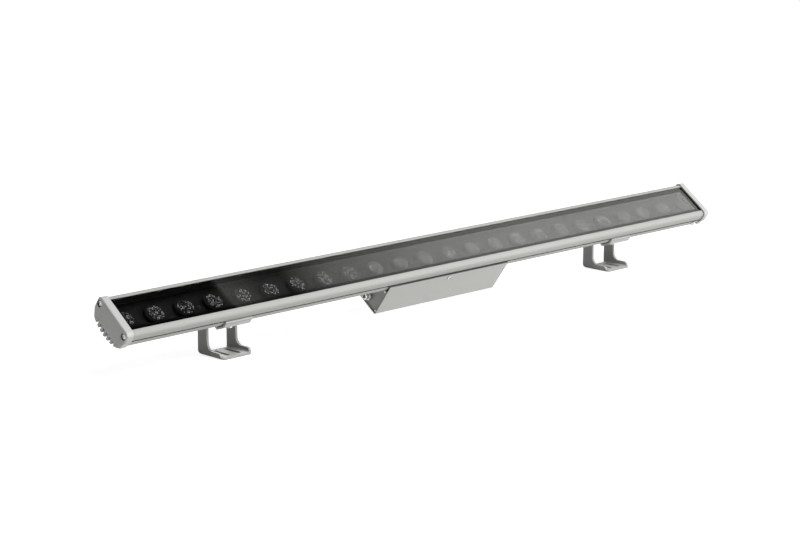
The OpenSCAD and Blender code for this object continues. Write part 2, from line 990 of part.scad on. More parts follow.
module clamp_screw(at) {
    color(steel)
        in_lamp()
            translate([at, 0, 0])
                at_clamp()
                    pan_screw(clamp_head_r, clamp_head_h, clamp_shank_r, clamp_shank_l);
}

module clamp_screw_left() {
    clamp_screw(left_at);
}

module clamp_screw_right() {
    clamp_screw(right_at);
}

// Side view of a bracket, y to the back and z up from the pivots
module bracket_side() {
    half = upright_w / 2;
    toe = toe_back - foot_reach;
    toe_top = toe_h - pivot_h;
    circle(r = half);
    translate([-half, heel_r - pivot_h])
        square([upright_w, pivot_h - heel_r]);
    translate([half - heel_r, heel_r - pivot_h])
        circle(r = heel_r);
    translate([toe, -pivot_h])
        square([half - heel_r - toe, toe_h - toe_r]);
    translate([toe + toe_r, -pivot_h])
        square([half - heel_r - toe - toe_r, toe_h]);
    translate([toe + toe_r, toe_top - toe_r])
        circle(r = toe_r);
    translate([-foot_reach, -pivot_h])
        square([foot_reach, plate_t]);
    difference() {
        translate([-half - fillet_r, toe_top])
            square(fillet_r);
        translate([-half - fillet_r, toe_top + fillet_r])
            circle(r = fillet_r);
    }
}

// Front view of a bracket: a channel bent from one plate
module bracket_channel() {
    half = bracket_w / 2;
    difference() {
        union() {
            translate([-half, bend_r - pivot_h])
                square([bracket_w, pivot_h + upright_w]);
            translate([bend_r - half, -pivot_h])
                square([bracket_w - 2 * bend_r, bend_r]);
            for (x = [bend_r - half, half - bend_r])
                translate([x, bend_r - pivot_h])
                    circle(r = bend_r);
        }
        translate([plate_t - half, bend_r - pivot_h])
            square([bracket_w - 2 * plate_t, pivot_h + upright_w + over]);
        translate([bend_r - half, plate_t - pivot_h])
            square([bracket_w - 2 * bend_r, bend_r]);
        for (x = [bend_r - half, half - bend_r])
            translate([x, bend_r - pivot_h])
                circle(r = bend_r - plate_t);
    }
}

// Plan of the foot, with its rounded front corners
module bracket_plan() {
    half = bracket_w / 2;
    translate([-half, foot_corner_r - foot_reach])
        square([bracket_w, foot_reach + upright_w]);
    translate([foot_corner_r - half, -foot_reach])
        square([bracket_w - 2 * foot_corner_r, foot_corner_r]);
    for (x = [foot_corner_r - half, half - foot_corner_r])
        translate([x, foot_corner_r - foot_reach])
            circle(r = foot_corner_r);
}

// One fixing slot, from front to back
module foot_slot() {
    back = -slot_back - slot_w / 2;
    front = -slot_back - slot_l + slot_w / 2;
    for (y = [back, front])
        translate([0, y])
            circle(r = slot_w / 2);
    translate([-slot_w / 2, front])
        square([slot_w, back - front]);
}

module bracket_solid(at) {
    half = bracket_w / 2;
    color(coat)
        at_pivot(at)
            difference() {
                intersection() {
                    run(-half, half)
                        bracket_side();
                    translate([0, upright_w, 0])
                        rotate([90, 0, 0])
                            linear_extrude(foot_reach + 2 * upright_w)
                                bracket_channel();
                    translate([0, 0, -pivot_h])
                        linear_extrude(pivot_h + upright_w)
                            bracket_plan();
                }
                translate([bend_r - half, upright_w / 2 - heel_r, -pivot_h - over])
                    cube([bracket_w - 2 * bend_r, upright_w, plate_t + 2 * over]);
                for (x = [-slot_gap / 2, slot_gap / 2])
                    translate([x, 0, -pivot_h - over])
                        linear_extrude(plate_t + 2 * over)
                            foot_slot();
                rod(-half - over, half + over, bolt_r + pin_gap);
            }
}

module bracket_left() {
    bracket_solid(left_at);
}

module bracket_right() {
    bracket_solid(right_at);
}

// Both sides of a bracket's pivot, the second one turned to face outwards
module at_pivot_sides(at) {
    at_pivot(at)
        for (turn = [0, 180])
            rotate([0, 0, turn])
                children();
}

module pivot_bolts(at) {
    head = bracket_w / 2 + washer_t;
    tail = clip_l / 2 - ear_t - slide_gap - nut_t - bolt_end;
    color(steel)
        at_pivot_sides(at) {
            rod(tail, head + bolt_head_t / 2, bolt_r);
            hex_rod(head, head + bolt_head_t, bolt_head_w);
        }
}

module pivot_bolts_left() {
    pivot_bolts(left_at);
}

module pivot_bolts_right() {
    pivot_bolts(right_at);
}

module pivot_washers(at) {
    color(steel)
        at_pivot_sides(at)
            difference() {
                rod(bracket_w / 2, bracket_w / 2 + washer_t, washer_r);
                rod(bracket_w / 2 - over, bracket_w / 2 + washer_t + over, bolt_r + pin_gap);
            }
}

module pivot_washers_left() {
    pivot_washers(left_at);
}

module pivot_washers_right() {
    pivot_washers(right_at);
}

module pivot_nuts(at) {
    face = clip_l / 2 - ear_t - slide_gap;
    color(steel)
        at_pivot_sides(at)
            difference() {
                hex_rod(face - nut_t, face, nut_w);
                rod(face - nut_t - over, face + over, bolt_r + pin_gap);
            }
}

module pivot_nuts_left() {
    pivot_nuts(left_at);
}

module pivot_nuts_right() {
    pivot_nuts(right_at);
}

housing_profile();
glass_pane();
glass_seal();
led_boards();
leds();
lenses();
lens_holders();
board_screws();
cap_gasket_left();
cap_gasket_right();
end_cap_left();
end_cap_right();
cap_screws_left();
cap_screws_right();
driver_box();
box_end_left();
box_end_right();
box_screws();
box_end_screws();
driver_unit();
driver_screws();
driver_lead();
lead_grommet();
gland_body();
gland_nut();
gland_seal();
gland_locknut();
earth_screw();
clip_left();
clip_right();
clamp_screw_left();
clamp_screw_right();
bracket_left();
bracket_right();
pivot_bolts_left();
pivot_bolts_right();
pivot_washers_left();
pivot_washers_right();
pivot_nuts_left();
pivot_nuts_right();
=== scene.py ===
"""Looks of the outdoor wall washer light, piece by piece, in the order in which it is put together."""

import json
import math

import bmesh
import bpy
from mathutils import Matrix, Vector

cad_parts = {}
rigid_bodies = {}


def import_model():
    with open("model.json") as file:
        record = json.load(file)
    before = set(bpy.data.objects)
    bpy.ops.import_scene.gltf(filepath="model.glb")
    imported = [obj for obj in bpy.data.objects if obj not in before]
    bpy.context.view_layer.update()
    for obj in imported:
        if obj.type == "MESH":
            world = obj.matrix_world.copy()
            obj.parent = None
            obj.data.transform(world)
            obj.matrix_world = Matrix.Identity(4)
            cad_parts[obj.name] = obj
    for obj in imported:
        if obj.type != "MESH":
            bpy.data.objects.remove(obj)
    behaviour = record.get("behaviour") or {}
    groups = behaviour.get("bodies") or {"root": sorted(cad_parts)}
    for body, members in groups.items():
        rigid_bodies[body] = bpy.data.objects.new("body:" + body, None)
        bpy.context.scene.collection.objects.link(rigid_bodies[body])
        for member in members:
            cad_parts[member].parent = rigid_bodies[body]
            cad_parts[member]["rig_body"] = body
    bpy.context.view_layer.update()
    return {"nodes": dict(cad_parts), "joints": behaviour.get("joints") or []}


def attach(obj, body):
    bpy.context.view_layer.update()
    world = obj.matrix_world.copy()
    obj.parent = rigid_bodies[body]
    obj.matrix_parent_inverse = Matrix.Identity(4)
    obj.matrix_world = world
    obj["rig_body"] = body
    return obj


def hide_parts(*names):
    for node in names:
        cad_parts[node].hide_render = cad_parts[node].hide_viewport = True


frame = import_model()
cad = frame["nodes"]


# Housing: one length of extruded aluminium with the two rails, the side grooves and the cooling fins.
# It has a thin silver grey powder coat, under which the fine lines that the die leaves still show.
# The pieces of a lamp like this are deburred, so each visible edge has a narrow rounding.
number, tint = "NodeSocketFloat", "NodeSocketColor"


def new_tree(name, kind, inputs, outputs):
    tree = bpy.data.node_groups.new(name, kind)
    for label, socket_type, value in inputs:
        socket = tree.interface.new_socket(label, in_out="INPUT", socket_type=socket_type)
        if value is not None:
            socket.default_value = value
    for label, socket_type in outputs:
        tree.interface.new_socket(label, in_out="OUTPUT", socket_type=socket_type)
    make, link = tree.nodes.new, tree.links.new
    return tree, make, link, make("NodeGroupInput"), make("NodeGroupOutput")


def die_lines_group():
    along_the_lamp, line_detail = 5, 3
    tree, make, link, given, out = new_tree(
        "die_lines", "ShaderNodeTree", [("Fineness", number, 900.0)], [("Height", number), ("Tone", number)])
    place, stretch = make("ShaderNodeTexCoord"), make("ShaderNodeCombineXYZ")
    stretched, lines = make("ShaderNodeVectorMath"), make("ShaderNodeTexNoise")
    stretched.operation = "MULTIPLY"
    stretch.inputs["X"].default_value = along_the_lamp
    lines.inputs["Scale"].default_value = 1
    lines.inputs["Detail"].default_value = line_detail
    for axis in "YZ":
        link(given.outputs["Fineness"], stretch.inputs[axis])
    link(place.outputs["Object"], stretched.inputs[0])
    link(stretch.outputs["Vector"], stretched.inputs[1])
    link(stretched.outputs["Vector"], lines.inputs["Vector"])
    link(lines.outputs["Fac"], out.inputs["Height"])
    link(lines.outputs["Fac"], out.inputs["Tone"])
    return tree


# Handling rubs the edges bright and clouds the faces. Recesses, corners and what is closed in are darkened by
# ambient occlusion, as painted shade.
def wear_and_painted_shade_group():
    cloud_scale, cloud_detail = 14, 5
    scratch_scale, scratch_detail = 260, 4
    rays_sent, edge_gain, cloud_dulling, wear_polish = 6, 6, 1.5, 0.12
    tree, make, link, given, out = new_tree("wear_and_painted_shade_marks", "ShaderNodeTree", [
        ("Colour", tint, (0.5, 0.5, 0.5, 1)), ("Edge Colour", tint, (0.8, 0.8, 0.8, 1)),
        ("Roughness", number, 0.4), ("Edge Radius", number, 0.0006), ("Wear", number, 0.3),
        ("Cloud", number, 0.05), ("Grain", number, 0.5), ("Grain Tone", number, 0.0),
        ("Painted Shade", number, 0.5), ("Painted Shade Reach", number, 0.006),
    ], [("Colour", tint), ("Roughness", number)])

    def maths(kind, a, b):
        node = make("ShaderNodeMath")
        node.operation = kind
        for socket, value in zip(node.inputs, (a, b)):
            if isinstance(value, (int, float)):
                socket.default_value = value
            else:
                link(value, socket)
        return node.outputs[0]

    place, clouds, scratch = make("ShaderNodeTexCoord"), make("ShaderNodeTexNoise"), make("ShaderNodeTexNoise")
    for texture, scale, detail in ((clouds, cloud_scale, cloud_detail), (scratch, scratch_scale, scratch_detail)):
        texture.inputs["Scale"].default_value = scale
        texture.inputs["Detail"].default_value = detail
        link(place.outputs["Object"], texture.inputs["Vector"])
    surface, rounded = make("ShaderNodeNewGeometry"), make("ShaderNodeBevel")
    turn = make("ShaderNodeVectorMath")
    rounded.samples = rays_sent
    turn.operation = "DOT_PRODUCT"
    link(given.outputs["Edge Radius"], rounded.inputs["Radius"])
    link(surface.outputs["Normal"], turn.inputs[0])
    link(rounded.outputs["Normal"], turn.inputs[1])
    edge = maths("MULTIPLY", maths("SUBTRACT", 1, turn.outputs["Value"]), edge_gain)
    worn = maths("MULTIPLY", maths("MULTIPLY", edge, scratch.outputs["Fac"]), given.outputs["Wear"])
    worn = maths("MINIMUM", worn, 1)
    cloud = maths("MULTIPLY", maths("SUBTRACT", clouds.outputs["Fac"], 0.5), given.outputs["Cloud"])
    grain = maths("MULTIPLY", maths("SUBTRACT", given.outputs["Grain"], 0.5), given.outputs["Grain Tone"])
    # Painted shade: ambient occlusion darkens the colour where other surfaces are near.
    closed_in = make("ShaderNodeAmbientOcclusion")
    closed_in.samples = rays_sent
    link(given.outputs["Painted Shade Reach"], closed_in.inputs["Distance"])
    hidden = maths("MULTIPLY", maths("SUBTRACT", 1, closed_in.outputs["AO"]), given.outputs["Painted Shade"])
    tone = maths("SUBTRACT", maths("ADD", maths("ADD", cloud, grain), 1), hidden)
    shade, mixed = make("ShaderNodeVectorMath"), make("ShaderNodeMix")
    shade.operation = "SCALE"
    link(given.outputs["Colour"], shade.inputs[0])
    link(tone, shade.inputs["Scale"])
    mixed.data_type = "RGBA"
    link(worn, mixed.inputs["Factor"])
    link(shade.outputs["Vector"], mixed.inputs["A"])
    link(given.outputs["Edge Colour"], mixed.inputs["B"])
    link(mixed.outputs["Result"], out.inputs["Colour"])
    rough = maths("ADD", given.outputs["Roughness"], maths("MULTIPLY", cloud, cloud_dulling))
    link(maths("SUBTRACT", rough, maths("MULTIPLY", worn, wear_polish)), out.inputs["Roughness"])
    return tree


die_lines = die_lines_group()
wear_and_painted_shade = wear_and_painted_shade_group()


# Each finish darkens its colour in recesses and next to other parts as painted shade, by the given amount, half by
# default.
def finish(name, colour, roughness, metallic, edge_colour=None, wear=0.3, cloud=0.06, painted_shade=0.5, reach=0.006,
           shine=0.5):
    made = bpy.data.materials.new(name)
    made.use_nodes = True
    tree = made.node_tree
    shader = tree.nodes["Principled BSDF"]
    shader.inputs["Metallic"].default_value = metallic
    shader.inputs["Specular IOR Level"].default_value = shine
    marks = tree.nodes.new("ShaderNodeGroup")
    marks.name = "marks"
    marks.node_tree = wear_and_painted_shade
    marks.inputs["Colour"].default_value = (*colour, 1)
    marks.inputs["Edge Colour"].default_value = (*(edge_colour or colour), 1)
    for label, value in (("Roughness", roughness), ("Wear", wear), ("Cloud", cloud), ("Painted Shade", painted_shade),
                         ("Painted Shade Reach", reach)):
        marks.inputs[label].default_value = value
    tree.links.new(marks.outputs["Colour"], shader.inputs["Base Color"])
    tree.links.new(marks.outputs["Roughness"], shader.inputs["Roughness"])
    return made


def bump(made, height, strength, distance):
    tree = made.node_tree
    bumps = tree.nodes.new("ShaderNodeBump")
    bumps.inputs["Strength"].default_value = strength
    bumps.inputs["Distance"].default_value = distance
    tree.links.new(height, bumps.inputs["Height"])
    tree.links.new(bumps.outputs["Normal"], tree.nodes["Principled BSDF"].inputs["Normal"])


def grained(made, pattern, fineness, tone, strength, depth):
    tree = made.node_tree
    grain = tree.nodes.new("ShaderNodeGroup")
    grain.node_tree = pattern
    grain.inputs["Fineness"].default_value = fineness
    tree.links.new(grain.outputs["Tone"], tree.nodes["marks"].inputs["Grain"])
    tree.nodes["marks"].inputs["Grain Tone"].default_value = tone
    bump(made, grain.outputs["Height"], strength, depth)


def placed(name, data):
    thing = bpy.data.objects.new(name, data)
    bpy.context.scene.collection.objects.link(thing)
    return thing


def rounded_copy(name, width, material, segments=2):
    weld, flat_turn = 0.000002, 0.01
    smooth_turn, sharp_turn = math.radians(30), math.radians(32)
    mesh = cad[name].data.copy()
    mesh.name = name + "_soft"
    shape = bmesh.new()
    shape.from_mesh(mesh)
    bmesh.ops.remove_doubles(shape, verts=shape.verts, dist=weld)
    bmesh.ops.dissolve_limit(shape, angle_limit=flat_turn, verts=shape.verts, edges=shape.edges)
    for face in shape.faces:
        face.smooth = True
    for edge in shape.edges:
        edge.smooth = edge.is_manifold and edge.calc_face_angle(0) < smooth_turn
    shape.to_mesh(mesh)
    shape.free()
    mesh.materials.clear()
    mesh.materials.append(material)
    piece = placed(mesh.name, mesh)
    rounding = piece.modifiers.new("edges", "BEVEL")
    rounding.width = width
    rounding.segments = segments
    rounding.limit_method = "ANGLE"
    rounding.angle_limit = sharp_turn
    rounding.harden_normals = False
    rounding.use_clamp_overlap = True
    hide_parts(name)
    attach(piece, cad[name]["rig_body"])
    return piece


# The coat's colour is darkened in the grooves and corners of the profile, as painted shade.
extruded = finish("silver coated extrusion", (0.55, 0.55, 0.525), 0.6, 0, edge_colour=(0.72, 0.72, 0.70),
                  wear=0.25, painted_shade=0.75, shine=0.1)
grained(extruded, die_lines, fineness=900, tone=0.1, strength=0.25, depth=0.00002)
housing = rounded_copy("housing_profile", width=0.00025, material=extruded)

# The lamp's own frame: its glass is tilted about the pivots, and heights are measured from the rails' tops.
tilt = math.radians(36.5)
pivot = next(joint["pos_m"] for joint in frame["joints"] if joint["name"] == "bracket_left_tilt")
pivot_drop = 0.0377
in_lamp = (Matrix.Translation((0, pivot[1], pivot[2])) @ Matrix.Rotation(tilt, 4, "X")
           @ Matrix.Translation((0, 0, pivot_drop)))
to_lamp = in_lamp.inverted()
# Painted shade: the chamber's inside faces are coloured near black, for the shade that lies in it.
chamber_painted_shade = finish("chamber painted shade", (0.006, 0.006, 0.006), 0.9, 0, wear=0, shine=0)
# Painted shade: the faces inside the side grooves are coloured dark grey, for the shade that lies in them.
groove_painted_shade = finish("groove painted shade", (0.02, 0.02, 0.019), 0.9, 0, wear=0, cloud=0.3, shine=0)
for material in (chamber_painted_shade, groove_painted_shade):
    housing.data.materials.append(material)
chamber_side, chamber_top, chamber_low = 0.0234, -0.0059, -0.0194
groove_top, groove_low, groove_out, groove_edge = -0.0128, -0.0144, 0.0290, 0.0003
# The faces inside the chamber and inside the side grooves take these painted shades.
for face in housing.data.polygons:
    inside = to_lamp @ face.center
    if abs(inside.y) < chamber_side and chamber_low < inside.z < chamber_top:
        face.material_index = 1
    if (chamber_side < abs(inside.y) < groove_out
            and groove_low - groove_edge < inside.z < groove_top + groove_edge):
        face.material_index = 2


# Gaskets: half a millimetre of closed-cell foam, cut to the profile's outline.
# The end caps' screws pinch them between profile and cap, and their fine pores show at the cut edge.
def dress(material, *names):
    for name in names:
        cad[name].data.materials.clear()
        cad[name].data.materials.append(material)


foam = finish("grey foam", (0.09, 0.09, 0.09), 0.9, 0, wear=0, cloud=0.3, shine=0.1)
pores, places = foam.node_tree.nodes.new("ShaderNodeTexNoise"), foam.node_tree.nodes.new("ShaderNodeTexCoord")
pore_fineness = 1400
pores.inputs["Scale"].default_value = pore_fineness
foam.node_tree.links.new(places.outputs["Object"], pores.inputs["Vector"])
bump(foam, pores.outputs["Fac"], strength=0.6, distance=0.0002)
dress(foam, "cap_gasket_left", "cap_gasket_right")


# LED boards: aluminium-core boards under black solder resist, laid end to end on the chamber floor.
# Small screws hold them down, so that their heat goes into the profile.
resist = finish("black solder resist", (0.009, 0.009, 0.0085), 0.6, 0, edge_colour=(0.3, 0.3, 0.3), wear=0,
                shine=0)
dress(resist, "led_boards")


# Sources: one square ceramic package with a yellow phosphor face under each lens.
# They are soldered to the boards at the pitch of the lenses.
lens_count = 24
lamp_length = 1.0
lens_pitch = lamp_length / lens_count
board_top = -0.0175
source_side, source_height = 0.0035, 0.0009


def row_tree(name, sockets):
    tree, make, link, given, out = new_tree(
        name, "GeometryNodeTree", [("Geometry", "NodeSocketGeometry", None)] + sockets
        + [("Material", "NodeSocketMaterial", None)], [("Geometry", "NodeSocketGeometry")])

    def add(kind, settings=(), **sources):
        node = make(kind)
        for key, value in settings:
            setattr(node, key, value)
        for key, value in sources.items():
            label = key.replace("_", " ")
            by_number = label[0] == "i" and label[1:].isdigit()
            socket = node.inputs[int(label[1:])] if by_number else node.inputs[label]
            for one in value if isinstance(value, list) else [value]:
                if isinstance(one, bpy.types.NodeSocket):
                    link(one, socket)
                else:
                    socket.default_value = one
        return node

    def maths(kind, a, b, clamped=False):
        return add("ShaderNodeMath", [("operation", kind), ("use_clamp", clamped)], i0=a, i1=b).outputs[0]

    def stood(shape):
        way = add("GeometryNodeInputNamedAttribute", [("data_type", "FLOAT_VECTOR")], Name="facing")
        turned = add("FunctionNodeAlignRotationToVector", [("axis", "Z")], Vector=way.outputs[0])
        return add("GeometryNodeInstanceOnPoints", Points=given.outputs["Geometry"], Instance=shape,
                   Rotation=turned.outputs[0]).outputs[0]

    def close(shape):
        real = add("GeometryNodeRealizeInstances", Geometry=shape)
        coated = add("GeometryNodeSetMaterial", Geometry=real.outputs[0], Material=given.outputs["Material"])
        link(coated.outputs[0], out.inputs[0])

    return tree, given, add, maths, stood, close


def places_mesh(name, spots):
    mesh = bpy.data.meshes.new(name)
    mesh.from_pydata([place for place, facing in spots], [], [])
    facing = mesh.attributes.new("facing", "FLOAT_VECTOR", "POINT")
    facing.data.foreach_set("vector", [value for place, way in spots for value in way])
    return mesh


def grown(name, tree, spots, body, nodes, slot, **sizes):
    holder = placed(name + "_places", places_mesh(name + "_places", spots))
    growth = holder.modifiers.new("growth", "NODES")
    growth.node_group = tree
    for socket in tree.interface.items_tree:
        if socket.in_out == "INPUT" and socket.name in sizes:
            growth[socket.identifier] = sizes[socket.name]
    bpy.context.view_layer.update()
    seen = holder.evaluated_get(bpy.context.evaluated_depsgraph_get())
    mesh = bpy.data.meshes.new_from_object(seen)
    mesh.name = name
    holder.modifiers.remove(growth)
    bpy.data.objects.remove(holder)
    piece = placed(name, mesh)
    if nodes:
        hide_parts(*nodes)
    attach(piece, body)


def lens_spots(height):
    up = in_lamp.to_3x3() @ Vector((0, 0, 1))
    return [(in_lamp @ Vector(((i + 0.5 - lens_count / 2) * lens_pitch, 0, height)), up)
            for i in range(lens_count)]


ceramic = finish("source package", (0.8, 0.62, 0.12), 0.35, 0, wear=0)
tree, given, add, maths, stood, close = row_tree("sources", [
    ("Side", number, source_side), ("Height", number, source_height)])
size = add("ShaderNodeCombineXYZ", X=given.outputs["Side"], Y=given.outputs["Side"], Z=given.outputs["Height"])
base = add("GeometryNodeMeshCube", Size=size.outputs[0])
lift = add("ShaderNodeCombineXYZ", Z=maths("MULTIPLY", given.outputs["Height"], 0.5))
raised = add("GeometryNodeTransform", Geometry=base.outputs["Mesh"], Translation=lift.outputs[0])
close(stood(raised.outputs[0]))
grown("sources", tree, lens_spots(board_top), "lamp", ["leds"], "led", Side=source_side,
      Height=source_height, Material=ceramic)


# Lens holders: black moulded rings that stand on the board, one round each source.
# Each carries its lens by the rim and keeps stray light off its neighbours.
moulded = finish("black moulded plastic", (0.009, 0.009, 0.0085), 0.8, 0, wear=0, cloud=0.2, shine=0)
dress(moulded, "lens_holders")


# Lenses: clear acrylic collimators with a beaded face, pressed into the holders.
# The beads spread the light. Their glints, a fine lattice of points, are painted highlights: pale colour on the
# crests of a random share of them.
acrylic = bpy.data.materials.new("clear acrylic")
acrylic.use_nodes = True
make, link = acrylic.node_tree.nodes.new, acrylic.node_tree.links.new
shader = acrylic.node_tree.nodes["Principled BSDF"]
for label, value in (("Roughness", 0.12), ("IOR", 1.49), ("Specular IOR Level", 0)):
    shader.inputs[label].default_value = value
# Painted highlight: the colour goes from near black to white on the marked bead crests.
glint, painted_glint_mix = make("ShaderNodeAttribute"), make("ShaderNodeMix")
glint.attribute_name = "glint"
painted_glint_mix.data_type = "RGBA"
painted_glint_mix.inputs["A"].default_value = (0.006, 0.006, 0.006, 1)
painted_glint_mix.inputs["B"].default_value = (0.95, 0.95, 0.95, 1)
link(glint.outputs["Fac"], painted_glint_mix.inputs["Factor"])
link(painted_glint_mix.outputs["Result"], shader.inputs["Base Color"])

lens_across = 0.023
tree, given, add, maths, stood, close = row_tree("beaded_lenses", [
    ("Diameter", number, lens_across), ("Rim", number, 0.0012), ("Top", number, 0.0059), ("Foot", number, 0.00506),
    ("Bead", number, 0.0021), ("Glint", number, 0.57), ("Seed", "NodeSocketInt", 4)])
round_sides, foot_lift, cup_inset = 40, 0.0003, 0.0014
radius = maths("MULTIPLY", given.outputs["Diameter"], 0.5)
rim = add("GeometryNodeMeshCylinder", Vertices=round_sides, Radius=radius, Depth=given.outputs["Rim"])
rim_mid = add("ShaderNodeCombineXYZ", Z=maths("SUBTRACT", given.outputs["Top"],
                                              maths("MULTIPLY", given.outputs["Rim"], 0.5)))
rim = add("GeometryNodeTransform", Geometry=rim.outputs["Mesh"], Translation=rim_mid.outputs[0])
cup_h = maths("SUBTRACT", maths("SUBTRACT", given.outputs["Top"], given.outputs["Rim"]), foot_lift)
cup = add("GeometryNodeMeshCone", Vertices=round_sides, Radius_Top=maths("SUBTRACT", radius, cup_inset),
          Radius_Bottom=given.outputs["Foot"], Depth=cup_h)
cup = add("GeometryNodeTransform", Geometry=cup.outputs["Mesh"], Translation=(0, 0, foot_lift))

across, staggering, row_rise, beads_in = 15, 0.5, math.sqrt(0.75), 0.6
row = maths("MULTIPLY", given.outputs["Bead"], row_rise)
grid = add("GeometryNodeMeshGrid", Size_X=maths("MULTIPLY", given.outputs["Bead"], across - 1),
           Size_Y=maths("MULTIPLY", row, across - 1), Vertices_X=across, Vertices_Y=across)
at = add("GeometryNodeInputPosition")
split = add("ShaderNodeSeparateXYZ", Vector=at.outputs[0])
row_number = add("ShaderNodeMath", [("operation", "ROUND")], i0=maths("DIVIDE", split.outputs["Y"], row))
odd = maths("FLOORED_MODULO", row_number.outputs[0], 2)
shift = add("ShaderNodeCombineXYZ", X=maths("MULTIPLY", maths("MULTIPLY", odd, given.outputs["Bead"]), staggering),
            Z=given.outputs["Top"])
staggered = add("GeometryNodeSetPosition", Geometry=grid.outputs["Mesh"], Offset=shift.outputs[0])
flat = add("ShaderNodeVectorMath", [("operation", "MULTIPLY")], i0=at.outputs[0], i1=(1, 1, 0))
reach = add("ShaderNodeVectorMath", [("operation", "LENGTH")], i0=flat.outputs[0])
outside = add("FunctionNodeCompare", [("data_type", "FLOAT"), ("operation", "GREATER_THAN")],
              i0=reach.outputs["Value"],
              i1=maths("SUBTRACT", radius, maths("MULTIPLY", given.outputs["Bead"], beads_in)))
inside = add("GeometryNodeDeleteGeometry", [("domain", "POINT")], Geometry=staggered.outputs[0],
             Selection=outside.outputs[0])

bead_sides, bead_rings, bead_height, just_below = 8, 6, 0.55, -0.0000001
crest_from, crest_gain, spark_power = 0.75, 4, 2.5
bead_r = maths("MULTIPLY", given.outputs["Bead"], 0.5)
bead = add("GeometryNodeMeshUVSphere", Segments=bead_sides, Rings=bead_rings, Radius=bead_r)
low = add("FunctionNodeCompare", [("data_type", "FLOAT"), ("operation", "LESS_THAN")],
          i0=split.outputs["Z"], i1=just_below)
dome = add("GeometryNodeDeleteGeometry", [("domain", "POINT")], Geometry=bead.outputs["Mesh"],
           Selection=low.outputs[0])
crest = maths("MULTIPLY", maths("SUBTRACT", maths("DIVIDE", split.outputs["Z"], bead_r), crest_from), crest_gain,
              clamped=True)
tipped = add("GeometryNodeStoreNamedAttribute", [("data_type", "FLOAT"), ("domain", "POINT")],
             Geometry=dome.outputs[0], Name="tip", Value=crest)
beads = add("GeometryNodeInstanceOnPoints", Points=inside.outputs[0], Instance=tipped.outputs[0],
            Scale=(1, 1, bead_height))
real_beads = add("GeometryNodeRealizeInstances", Geometry=beads.outputs[0])
smooth = add("GeometryNodeSetShadeSmooth", Geometry=real_beads.outputs[0])
lens = add("GeometryNodeJoinGeometry", Geometry=[rim.outputs[0], cup.outputs[0], smooth.outputs[0]])
real = add("GeometryNodeRealizeInstances", Geometry=stood(lens.outputs[0]))
# Painted highlight: a random share of the beads, raised to a power, gets its crest marked to show pale.
island = add("GeometryNodeInputMeshIsland")
chance = add("FunctionNodeRandomValue", [("data_type", "FLOAT")], ID=island.outputs[0], Seed=given.outputs["Seed"])
tip = add("GeometryNodeInputNamedAttribute", [("data_type", "FLOAT")], Name="tip")
bright = maths("MULTIPLY", maths("MULTIPLY", maths("POWER", chance.outputs[1], spark_power), tip.outputs[0]),
               given.outputs["Glint"])
marked = add("GeometryNodeStoreNamedAttribute", [("data_type", "FLOAT"), ("domain", "POINT")],
             Geometry=real.outputs[0], Name="glint", Value=bright)
close(marked.outputs[0])
grown("beaded_lenses", tree, lens_spots(board_top), "lamp", ["lenses"], "lens", Diameter=lens_across,
      Material=acrylic)


# Screws, bolts, washers and nuts: stainless steel with plain turned and pressed faces.
# The small screws have a cross recess, whose colour is darkened as painted shade, as the steel's is next to
# other parts. Those on the boards are black oxide, so that they don't show through the glass.
stainless = finish("stainless steel", (0.62, 0.62, 0.61), 0.28, 0.95, wear=0, cloud=0.1, painted_shade=0.7,
                   reach=0.0015)
blacked = finish("black oxide", (0.01, 0.01, 0.01), 0.6, 0, wear=0, shine=0.1)
dress(blacked, "board_screws")
dress(stainless, "cap_screws_left", "cap_screws_right", "box_screws", "box_end_screws",
      "driver_screws", "earth_screw", "clamp_screw_left", "clamp_screw_right", "pivot_bolts_left",
      "pivot_bolts_right", "pivot_washers_left", "pivot_washers_right", "pivot_nuts_left", "pivot_nuts_right")


# Seals: a black silicone bead under the glass edge, with a dam across each end.
# The grommet of the driver's lead and the gland's ring are of the same rubber, squeezed in place.
silicone = finish("black silicone", (0.006, 0.006, 0.006), 0.8, 0, wear=0, cloud=0.2, shine=0.05)
dress(silicone, "glass_seal", "lead_grommet", "gland_seal")


# Glass: one 4 mm tempered pane, flush between the rails and bedded on the seal.
# It lets light in to the lenses, and mirrors what stands above it.
pane = bpy.data.materials.new("tempered glass")
pane.use_nodes = True
make, link = pane.node_tree.nodes.new, pane.node_tree.links.new
shader = pane.node_tree.nodes["Principled BSDF"]
shader.inputs["Base Color"].default_value = (0.96, 0.98, 0.97, 1)
for label, value in (("Roughness", 0), ("IOR", 1.5), ("Transmission Weight", 1)):
    shader.inputs[label].default_value = value
see, rays, either = make("ShaderNodeBsdfTransparent"), make("ShaderNodeLightPath"), make("ShaderNodeMixShader")
link(rays.outputs["Is Shadow Ray"], either.inputs[0])
link(shader.outputs[0], either.inputs[1])
link(see.outputs[0], either.inputs[2])
link(either.outputs[0], pane.node_tree.nodes["Material Output"].inputs["Surface"])
dress(pane, "glass_pane")


# Border: the black print on the underside of the glass that hides the seal.
# It is screen printed and fired on, wider along the rails than across the ends.
printed = finish("black glass print", (0.004, 0.004, 0.004), 0.8, 0, wear=0, cloud=0.2, shine=0)
side_w, end_w, edge_gap, print_t, print_lift = 0.006, 0.002, 0.0001, 0.00005, 0.00006
pane_points = [to_lamp @ corner.co for corner in cad["glass_pane"].data.vertices]
glass_half = max(corner.x for corner in pane_points)
pane_side = max(corner.y for corner in pane_points)
under = min(corner.z for corner in pane_points) + print_lift
outer = [(-glass_half, -pane_side), (glass_half, -pane_side), (glass_half, pane_side), (-glass_half, pane_side)]
inner = [(math.copysign(glass_half - end_w, x), math.copysign(pane_side - side_w, y)) for x, y in outer]
border = bmesh.new()
rings = [[border.verts.new(in_lamp @ Vector((x - math.copysign(edge_gap, x), y - math.copysign(edge_gap, y), z)))
          for x, y in ring] for z in (under, under + print_t) for ring in (outer, inner)]
